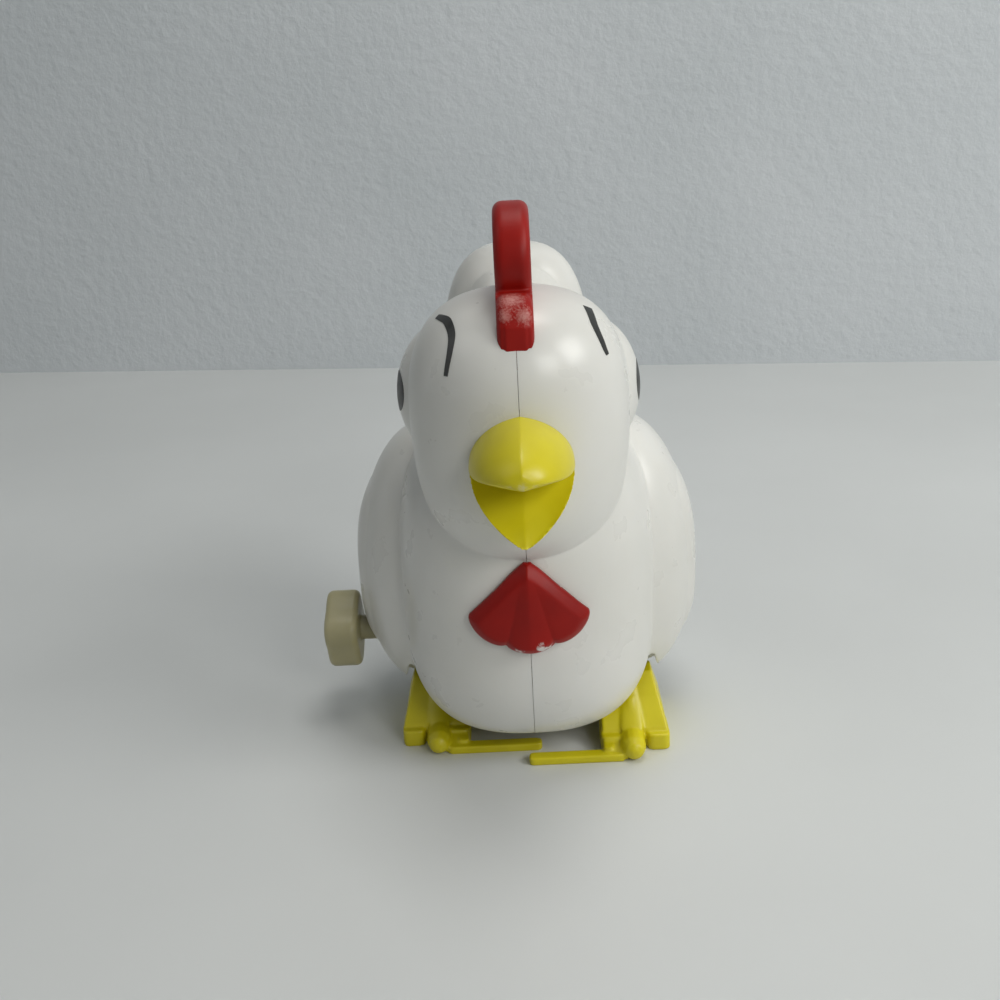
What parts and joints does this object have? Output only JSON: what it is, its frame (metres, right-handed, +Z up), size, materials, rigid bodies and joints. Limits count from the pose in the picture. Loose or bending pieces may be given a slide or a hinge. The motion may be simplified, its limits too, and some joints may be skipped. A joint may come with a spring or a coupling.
{
  "type": "wind-up walking toy",
  "caption": "Wind-up walking chicken toy: rounded body with comb, beak and wattle, side winding knob, and a geared spring motor whose crank pins swing the legs.",
  "frame": {"origin": "centre of the toy's outer box seen from above, on the surface it stands on; the body's mid plane lies 3 mm to its left because the knob stands out on the right", "axes": "+Z up, -Y the way the chicken faces and walks, +X towards its left side"},
  "size_m": [0.0572, 0.0719, 0.0797],
  "materials": {
    "white_abs": "glossy white moulding, a little yellowed",
    "red_abs": "glossy red moulding",
    "yellow_abs": "glossy yellow moulding",
    "ivory_abs": "satin ivory moulding",
    "white_acetal": "waxy natural acetal",
    "steel": "plain drawn wire and rolled strip"
  },
  "bodies": {
    "body": {"body_half_left": "white_abs", "body_half_right": "white_abs", "comb": "red_abs", "beak": "yellow_abs", "wattle": "red_abs", "case_half_left": "ivory_abs", "case_half_right": "ivory_abs", "mainspring": "steel", "rocker_arbor": "steel"},
    "crank": {"crank_shaft": "steel", "crank_wheel": "white_acetal", "crank_disc_left": "white_acetal", "crank_disc_right": "white_acetal", "leg_clip_left": "steel", "leg_clip_right": "steel"},
    "left_leg": {"leg_left": "yellow_abs"},
    "right_leg": {"leg_right": "yellow_abs"},
    "second": {"second_wheel": "white_acetal", "second_arbor": "steel"},
    "winding": {"winding_shaft": "steel", "great_wheel": "white_acetal", "knob": "ivory_abs"},
    "star": {"star_wheel": "white_acetal", "star_arbor": "steel"},
    "governor": {"rocker": "white_acetal"}
  },
  "joints": [
    {"name": "crank_spin", "type": "hinge", "parent": "body", "child": "crank", "pos_m": [0.003, -0.0048, 0.0155], "axis": [1, 0, 0], "continuous": true},
    {"name": "left_leg_swing", "type": "hinge", "parent": "crank", "child": "left_leg", "pos_m": [0.003, -0.0068, 0.0155], "axis": [1, 0, 0], "continuous": true},
    {"name": "right_leg_swing", "type": "hinge", "parent": "crank", "child": "right_leg", "pos_m": [0.003, -0.0028, 0.0155], "axis": [1, 0, 0], "continuous": true},
    {"name": "second_spin", "type": "hinge", "parent": "body", "child": "second", "pos_m": [0.003, 0.00031, 0.02166], "axis": [1, 0, 0], "continuous": true},
    {"name": "winding_spin", "type": "hinge", "parent": "body", "child": "winding", "pos_m": [0.003, 0.005, 0.0134], "axis": [1, 0, 0], "continuous": true},
    {"name": "star_spin", "type": "hinge", "parent": "body", "child": "star", "pos_m": [0.003, -0.00417, 0.00953], "axis": [1, 0, 0], "continuous": true},
    {"name": "rocker_swing", "type": "hinge", "parent": "body", "child": "governor", "pos_m": [0.003, 0.00128, 0.00755], "axis": [1, 0, 0], "range_deg": [-4, 4]}
  ],
  "couplings": [
    {"joint": "left_leg_swing", "follows": "crank_spin", "ratio": -1},
    {"joint": "right_leg_swing", "follows": "crank_spin", "ratio": -1},
    {"joint": "second_spin", "follows": "crank_spin", "ratio": -0.45455},
    {"joint": "winding_spin", "follows": "crank_spin", "ratio": 0.12121},
    {"joint": "star_spin", "follows": "crank_spin", "ratio": -2}
  ]
}
